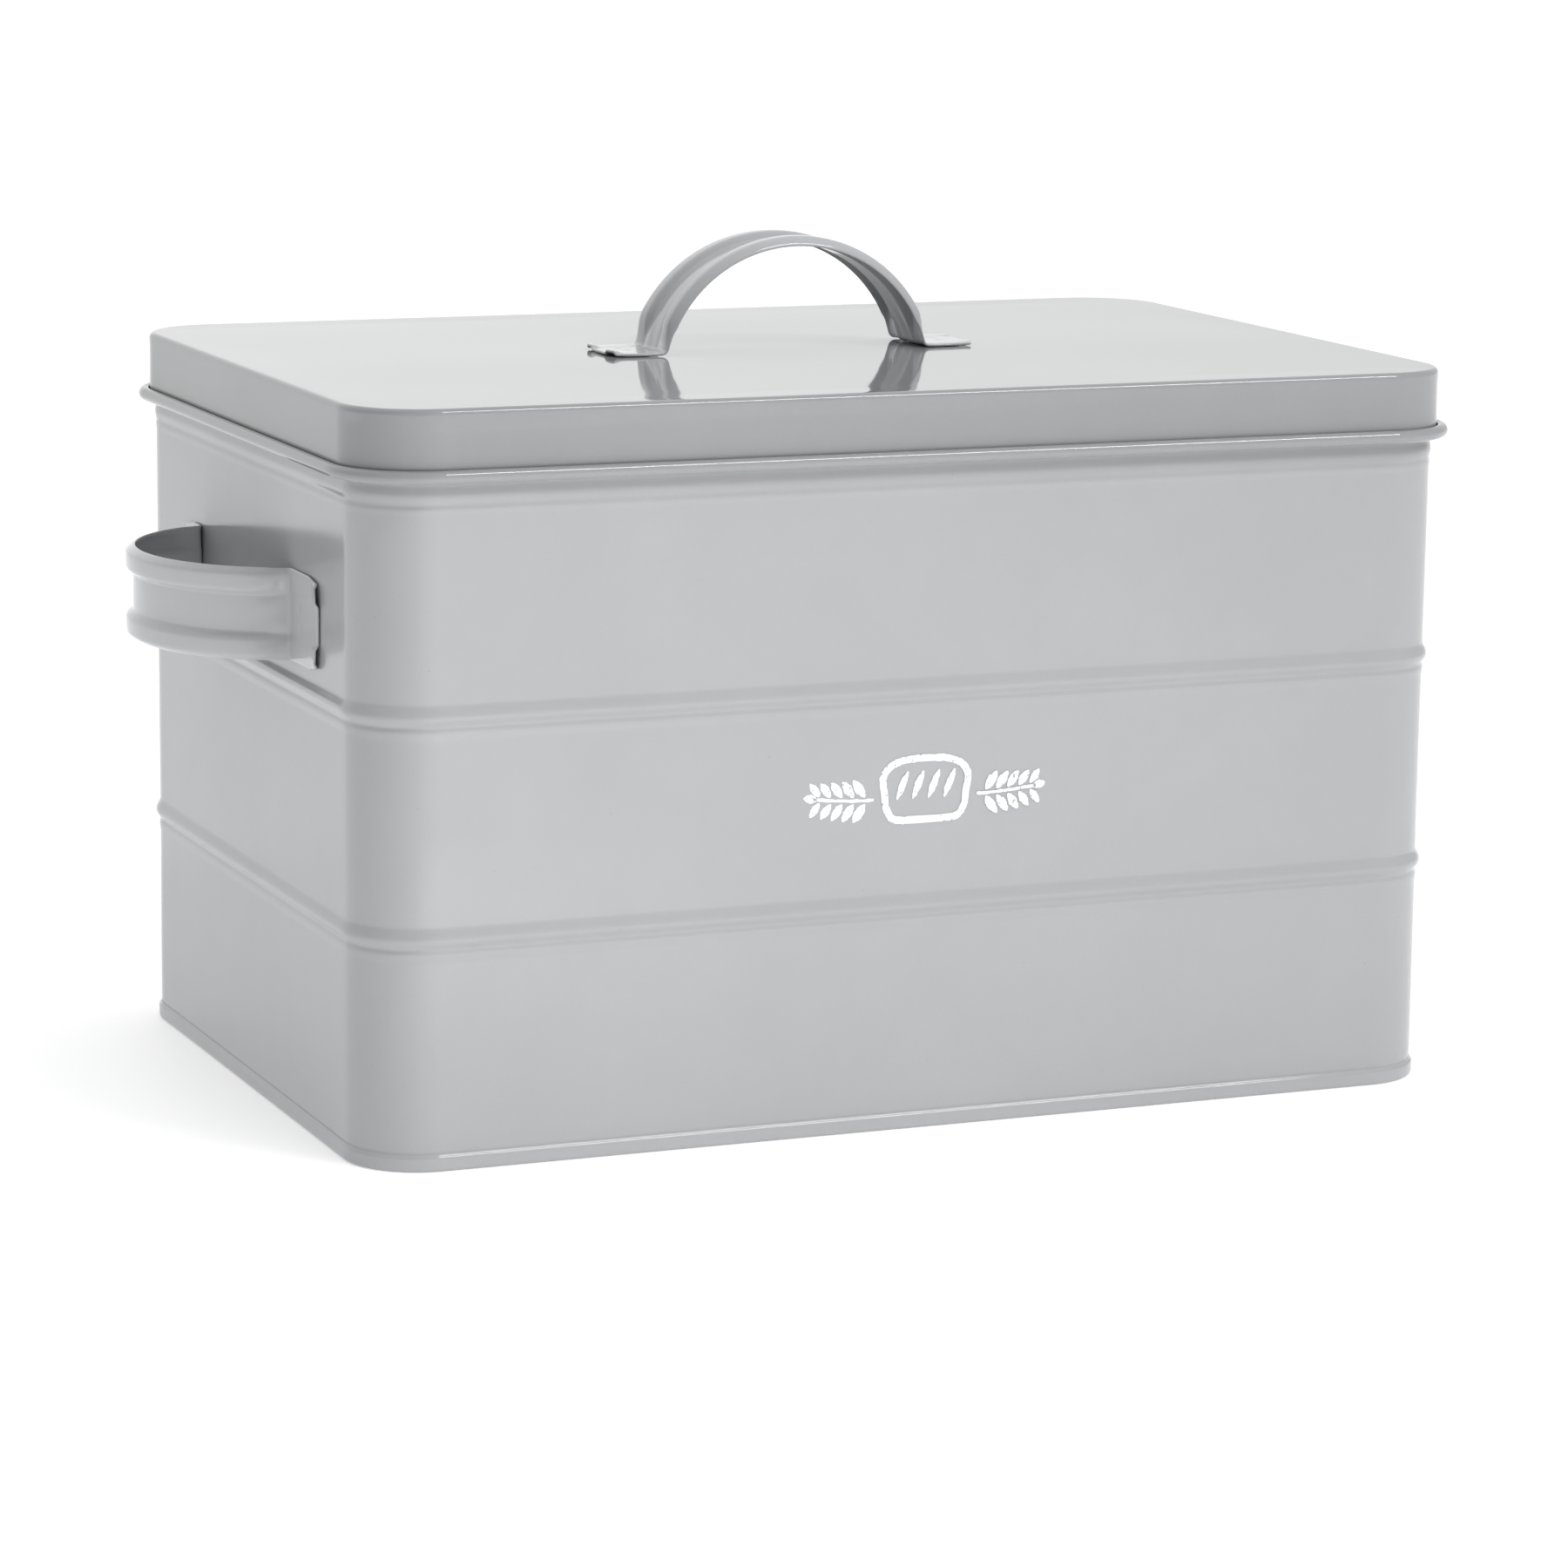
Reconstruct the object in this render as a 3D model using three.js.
// A painted sheet-steel bread bin with a lift-off lid and three pressed strap handles.
//
// Millimetres, +Z up. The origin is the middle of the base, on the surface that the bin stands on.
// X runs along the bin's length, between the two side handles, and the front faces -Y.
//
// Every sheet is a line drawn in section and given a thickness. The body wall, the base and the lid carry
// their section round one rounded rectangle, and each strap handle carries a wavy section along an arch.

import * as THREE from 'three'

// ---- driving dimensions ------------------------------------------------------------------------------

const bodyLength = 330 // outside the plain wall, along X
const bodyWidth = 220 // outside the plain wall, along Y
const bodyHeight = 209.3 // from the surface it stands on to the top of the rolled rim
const cornerRadius = 21 // of the wall's outer face, seen from above
const cornerSteps = 6
const sheet = 0.5 // thickness of the wall, the base and the lid

const beadWidth = 6.4 // height of the band that a stiffening bead takes up
const beadProud = 1.2
const lowerBeadHeight = 65 // middle of the lower bead above the base
const beadSpacing = 60 // from the upper bead up to the stop bead
const stopBeadWidth = 5.8 // height of the bead just under the lid's curl
const stopBeadProud = 0.95
const beadSteps = 6

const rimRollRadius = 1.3 // of the sheet's middle, in the roll round the mouth
const rimRollTurn = 240 // degrees
const rimRollSteps = 6

const seamHeight = 5.5 // of the folded seam round the base
const seamBend = 0.5 // radius of the sheet's middle at the seam's two bottom bends
const seamBendSteps = 2
const floorRecess = 3.6 // underside of the floor above the surface that the bin stands on
const channelDepth = 0.6 // from the wall's lower edge down to the bottom of the seam's channel

const lidDepth = 20.1 // from the lid's top face to the bottom of its curl
const lidEdgeRadius = 1.4 // of the sheet's middle, round the top edge
const lidEdgeSteps = 4
const curlRadius = 1.65 // of the sheet's middle, in the curl round the lid's lower edge
const curlTurn = 235 // degrees
const curlSteps = 8

const strapWidth = 26
const strapSheet = 0.8
const ridgeProud = 2 // height of the strap's two ridges over the band between them
const ridgeInset = 3.8 // from the strap's edge to the middle of a ridge
const ridgeHalfWidth = 3.8
const lidArchSpan = 85 // between the two bends of the lid's handle
const sideArchSpan = 90
const archRise = 33.8 // from the sheet that the strap is welded to, to the top of the ridges
const archSteps = 16
const legLean = 74 // degrees that the strap's outer face has turned by where an arch meets its bend
const lidFootLength = 15 // beyond the bend
const lidHandleBack = 2.2 // how far the lid's handle stands behind the middle of the lid
const sideFrontFootLength = 23
const sideBackFootLength = 14
const footSteps = 3
const footBend = 2 // radius of the strap's middle
const footBendSteps = 3
const flattenLength = 9 // of each leg, over which the ridges die down towards the bend
const bendRidge = 0.15 // share of a ridge's height left at the bend
const footEndRidge = 0.65 // share of it at the foot's end, where the ridges open again
const sideHandleDrop = 44.4 // from the bottom of the lid's curl down to the middle of a side handle

// ---- clearances --------------------------------------------------------------------------------------

const seamClearance = 0.3 // each side of the wall, where it stands in the seam's channel
const lidClearance = 1.4 // all round, between the wall and the lid's skirt
const seatClearance = 0.3 // between the rolled rim and the underside of the lid
const curlClearance = 0.7 // between the stop bead and the lid's curl
const weldClearance = 0.3 // between a strap's feet and the sheet that they are welded to

// ---- sizes that follow -------------------------------------------------------------------------------

const degrees = Math.PI / 180
const wallMiddle = -sheet / 2 // the wall's middle, measured outward from its outer face
const lidTop = bodyHeight + seatClearance + sheet
const curlBottom = lidTop - lidDepth
const stopBeadHeight = curlBottom - curlClearance - stopBeadWidth / 2
const upperBeadHeight = stopBeadHeight - beadSpacing
const sideHandleHeight = curlBottom - sideHandleDrop

const paint = { color: 0xb4b6b8, roughness: 0.28, metalness: 0.0 }
const lidPaint = { color: 0xbcbec0, roughness: 0.16, metalness: 0.0 }

// ---- lines in section --------------------------------------------------------------------------------

// Points along an arc in a section plane, without its first point. Angles are in degrees.
function arc(centreX, centreY, radius, from, to, steps) {
  const points = []
  for (let i = 1; i <= steps; i += 1) {
    const angle = (from + ((to - from) * i) / steps) * degrees
    points.push([centreX + radius * Math.cos(angle), centreY + radius * Math.sin(angle)])
  }
  return points
}

// A bead pressed outward: one raised cosine, which leaves the wall and joins it again smoothly.
function bead(height, width, proud) {
  const points = []
  for (let i = 0; i <= beadSteps; i += 1) {
    const t = i / beadSteps
    points.push([wallMiddle + (proud * (1 - Math.cos(2 * Math.PI * t))) / 2, height + width * (t - 0.5)])
  }
  return points
}

// The two faces of a sheet whose middle follows a line: points half a thickness to its right and left.
function bothFaces(line, thickness) {
  const right = []
  const left = []
  for (let i = 0; i < line.length; i += 1) {
    const before = new THREE.Vector2(...line[Math.max(i - 1, 0)])
    const here = new THREE.Vector2(...line[i])
    const after = new THREE.Vector2(...line[Math.min(i + 1, line.length - 1)])
    const into = i > 0 ? here.clone().sub(before).normalize() : after.clone().sub(here).normalize()
    const out = i < line.length - 1 ? after.clone().sub(here).normalize() : into.clone()
    const along = into.clone().add(out).normalize()
    const reach = thickness / 2 / along.dot(into)
    right.push([here.x + along.y * reach, here.y - along.x * reach])
    left.push([here.x - along.y * reach, here.y + along.x * reach])
  }
  return { right, left }
}

// ---- solids ------------------------------------------------------------------------------------------

function solid(positions, triangles) {
  const geometry = new THREE.BufferGeometry()
  geometry.setAttribute('position', new THREE.Float32BufferAttribute(positions, 3))
  geometry.setIndex(triangles)
  geometry.computeVertexNormals()
  return geometry
}

// One turn round the bin at a height, a distance outward from the plain wall, anticlockwise from above.
function turn([outward, height]) {
  const points = []
  const straightX = bodyLength / 2 - cornerRadius
  const straightY = bodyWidth / 2 - cornerRadius
  const radius = cornerRadius + outward
  for (let corner = 0; corner < 4; corner += 1) {
    const signX = corner === 0 || corner === 3 ? 1 : -1
    const signY = corner < 2 ? 1 : -1
    for (let i = 0; i <= cornerSteps; i += 1) {
      const angle = ((corner + i / cornerSteps) * Math.PI) / 2
      const x = signX * straightX + radius * Math.cos(angle)
      const y = signY * straightY + radius * Math.sin(angle)
      points.push([x, y, height])
    }
  }
  return points
}

// A sheet carried round the bin. Its section line is drawn with the outer face on its right. A closed sheet
// has a flat middle, like the floor or the lid's top, past the last point of its line.
function sheetRound(line, hasFlatMiddle) {
  const { right, left } = bothFaces(line, sheet)
  const section = [...right, ...left.reverse()]
  const perTurn = 4 * (cornerSteps + 1)
  const positions = section.flatMap(turn).flat()
  const triangles = []
  for (let j = 0; j < section.length; j += 1) {
    const next = (j + 1) % section.length
    if (hasFlatMiddle && j === line.length - 1) continue
    for (let i = 0; i < perTurn; i += 1) {
      const k = (i + 1) % perTurn
      const a = j * perTurn + i
      const b = j * perTurn + k
      const c = next * perTurn + k
      const d = next * perTurn + i
      triangles.push(a, b, c, a, c, d)
    }
  }
  if (hasFlatMiddle) {
    for (const [j, up] of [[line.length - 1, true], [line.length, false]]) {
      const middle = positions.length / 3
      positions.push(0, 0, section[j][1])
      for (let i = 0; i < perTurn; i += 1) {
        const a = j * perTurn + i
        const b = j * perTurn + ((i + 1) % perTurn)
        triangles.push(middle, up ? a : b, up ? b : a)
      }
    }
  }
  return solid(positions, triangles)
}

// The wall: plain sheet from the seam's channel up to the rolled rim, with three beads on the way.
function bodyWall() {
  const rollX = wallMiddle - rimRollRadius
  const rollZ = bodyHeight - sheet / 2 - rimRollRadius
  const line = [
    [wallMiddle, sheet + channelDepth],
    ...bead(lowerBeadHeight, beadWidth, beadProud),
    ...bead(upperBeadHeight, beadWidth, beadProud),
    ...bead(stopBeadHeight, stopBeadWidth, stopBeadProud),
    [wallMiddle, rollZ],
    ...arc(rollX, rollZ, rimRollRadius, 0, rimRollTurn, rimRollSteps),
  ]
  return sheetRound(line, false)
}

// The base: its edge is folded into a channel that the wall stands in, and the floor lies above it.
function basePanel() {
  const channelHalf = (sheet + seamClearance * 2 + sheet) / 2
  const outer = wallMiddle + channelHalf
  const inner = wallMiddle - channelHalf
  const bottom = sheet / 2
  const floor = floorRecess + sheet / 2
  const line = [
    [outer, seamHeight],
    [outer, bottom + seamBend],
    ...arc(outer - seamBend, bottom + seamBend, seamBend, 0, -90, seamBendSteps),
    [inner + seamBend, bottom],
    ...arc(inner + seamBend, bottom + seamBend, seamBend, -90, -180, seamBendSteps),
    [inner, floor - seamBend],
    ...arc(inner - seamBend, floor - seamBend, seamBend, 0, 90, seamBendSteps),
  ]
  return sheetRound(line, true)
}

// The lid: a shallow pan, its skirt ending in a curl whose free edge is turned up and out.
function lidPan() {
  const skirt = lidClearance + sheet / 2
  const curlX = skirt + curlRadius
  const curlZ = curlBottom + sheet / 2 + curlRadius
  const edgeZ = lidTop - sheet / 2 - lidEdgeRadius
  const freeEdge = 180 + curlTurn
  const line = [
    [curlX + curlRadius * Math.cos(freeEdge * degrees), curlZ + curlRadius * Math.sin(freeEdge * degrees)],
    ...arc(curlX, curlZ, curlRadius, freeEdge, 180, curlSteps),
    [skirt, edgeZ],
    ...arc(skirt - lidEdgeRadius, edgeZ, lidEdgeRadius, 0, 90, lidEdgeSteps),
  ]
  return sheetRound(line, true)
}

// ---- strap handles -----------------------------------------------------------------------------------

// The half ellipse of an arch. It is level at the crown, and leans by legLean where the bend begins. Its
// centre's height and its two half sizes follow from those two points.
function archEllipse(span, foot, crown) {
  const lean = legLean * degrees
  const endX = span / 2 - footBend * Math.sin(lean)
  const endZ = foot + footBend * (1 - Math.cos(lean))
  const drop = crown - endZ
  const reach = endX * Math.tan(lean)
  const halfHeight = (drop * (reach - drop)) / (reach - 2 * drop)
  const endHeight = halfHeight - drop
  const halfWidth = halfHeight * Math.sqrt(endX / (endHeight * Math.tan(lean)))
  return { halfWidth, halfHeight, centre: crown - halfHeight, end: Math.asin(endX / halfWidth) }
}

// Half of the strap's middle line, from the crown to a foot's end, seen from the side. Each point has its
// place, the way its outer face looks, and the share of the ridges' height that is left there.
function halfStrapLine(span, footLength) {
  const foot = weldClearance + strapSheet / 2
  const crown = archRise - ridgeProud - strapSheet / 2
  const { halfWidth, halfHeight, centre, end } = archEllipse(span, foot, crown)
  const bendX = span / 2
  const bendZ = foot + footBend
  const stations = []
  for (let i = 0; i <= archSteps / 2; i += 1) {
    const angle = (end * i) / (archSteps / 2)
    const toBend = ((end - angle) * (halfWidth + halfHeight)) / 2
    const fade = THREE.MathUtils.smoothstep(toBend, 0, flattenLength)
    const look = new THREE.Vector2(halfHeight * Math.sin(angle), halfWidth * Math.cos(angle)).normalize()
    stations.push({
      x: halfWidth * Math.sin(angle),
      z: centre + halfHeight * Math.cos(angle),
      lookX: look.x,
      lookZ: look.y,
      ridge: THREE.MathUtils.lerp(bendRidge, 1, fade),
    })
  }
  for (let i = 1; i <= footBendSteps; i += 1) {
    const angle = legLean * degrees * (1 - i / footBendSteps)
    stations.push({
      x: bendX - footBend * Math.sin(angle),
      z: bendZ - footBend * Math.cos(angle),
      lookX: Math.sin(angle),
      lookZ: Math.cos(angle),
      ridge: bendRidge,
    })
  }
  for (let i = 1; i <= footSteps; i += 1) {
    const t = i / footSteps
    const ridge = THREE.MathUtils.lerp(bendRidge, footEndRidge, t)
    stations.push({ x: bendX + footLength * t, z: foot, lookX: 0, lookZ: 1, ridge })
  }
  return stations
}

// The strap's section: how far each point across its width stands over the flat band in the middle.
function strapSection() {
  const points = []
  for (const side of [-1, 1]) {
    for (const step of side < 0 ? [1, 0.5, 0, -0.5, -1] : [-1, -0.5, 0, 0.5, 1]) {
      const across = side * (strapWidth / 2 - ridgeInset + step * ridgeHalfWidth)
      points.push([across, ridgeProud * Math.cos((step * Math.PI) / 2) ** 2])
    }
  }
  return points
}

// A strap lying along X on a face at Z = 0, with its arch standing up. Its first foot points towards -X and its
// last towards +X, and they may differ in length.
function strapHandle(span, firstFoot, lastFoot) {
  const half = halfStrapLine(span, lastFoot)
  const firstHalf = halfStrapLine(span, firstFoot).slice(1).reverse()
  const mirrored = firstHalf.map((s) => ({ ...s, x: -s.x, lookX: -s.lookX }))
  const stations = [...mirrored, ...half]
  const section = strapSection()
  const count = section.length
  const positions = []
  for (const s of stations) {
    for (const [side, order] of [[1, section], [-1, [...section].reverse()]]) {
      for (const [across, proud] of order) {
        const height = proud * s.ridge + (side * strapSheet) / 2
        positions.push(s.x + s.lookX * height, across, s.z + s.lookZ * height)
      }
    }
  }
  const triangles = []
  const loop = 2 * count
  for (let j = 0; j < stations.length - 1; j += 1) {
    for (let i = 0; i < loop; i += 1) {
      const a = j * loop + i
      const b = j * loop + ((i + 1) % loop)
      triangles.push(a, a + loop, b + loop, a, b + loop, b)
    }
  }
  const lastStation = (stations.length - 1) * loop
  for (let i = 0; i < count - 1; i += 1) {
    const under = loop - 1 - i
    triangles.push(i, i + 1, under - 1, i, under - 1, under)
    const [a, b, c, d] = [i, i + 1, under - 1, under].map((k) => lastStation + k)
    triangles.push(a, c, b, a, d, c)
  }
  return solid(positions, triangles)
}

// ---- the object --------------------------------------------------------------------------------------

const breadBin = new THREE.Group()

function add(name, geometry, look, parent = breadBin) {
  const mesh = new THREE.Mesh(geometry, new THREE.MeshStandardMaterial(look))
  mesh.name = name
  parent.add(mesh)
  return mesh
}

add('body_wall', bodyWall(), paint)
add('base_panel', basePanel(), paint)

// Each side handle stands on the middle of a short wall, its arch lying level and its longer foot in front.
for (const [name, out] of [['side_handle_left', -1], ['side_handle_right', 1]]) {
  const geometry = strapHandle(sideArchSpan, sideFrontFootLength, sideBackFootLength)
  const handle = add(name, geometry, paint)
  const along = new THREE.Vector3(0, 1, 0)
  const up = new THREE.Vector3(0, 0, out)
  const outward = new THREE.Vector3(out, 0, 0)
  handle.quaternion.setFromRotationMatrix(new THREE.Matrix4().makeBasis(along, up, outward))
  handle.position.set((out * bodyLength) / 2, 0, sideHandleHeight)
}

// The lid and its handle lift off together.
const lid = new THREE.Group()
breadBin.add(lid)
add('lid_pan', lidPan(), lidPaint, lid)
const lidHandle = add('lid_handle', strapHandle(lidArchSpan, lidFootLength, lidFootLength), paint, lid)
lidHandle.position.set(0, lidHandleBack, lidTop)

export default breadBin
